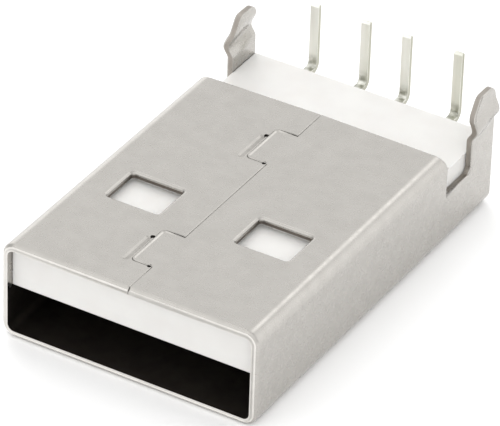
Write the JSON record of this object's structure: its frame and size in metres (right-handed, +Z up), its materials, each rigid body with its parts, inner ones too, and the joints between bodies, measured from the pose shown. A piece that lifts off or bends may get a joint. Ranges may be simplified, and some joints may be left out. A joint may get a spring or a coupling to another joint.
{
  "type": "right-angle usb-a board plug",
  "caption": "Right-angle USB-A plug for a circuit board: a folded metal shell round a moulded tongue, with bent contact tails and two kinked legs.",
  "frame": {"origin": "on the lower edge of the mating end, halfway across the plug", "axes": "+X across the plug, +Y from the mating end to the contact tails, +Z up from the flat floor of the shell towards the circuit board"},
  "size_m": [0.0124, 0.0207, 0.006],
  "materials": {
    "shell_sheet": "satin nickel plate",
    "white_moulding": "satin moulded",
    "contact_strip": "tin plate"
  },
  "bodies": {
    "root": {"shell": "shell_sheet", "housing": "white_moulding", "contact_1": "contact_strip", "contact_2": "contact_strip", "contact_3": "contact_strip", "contact_4": "contact_strip"}
  },
  "joints": []
}
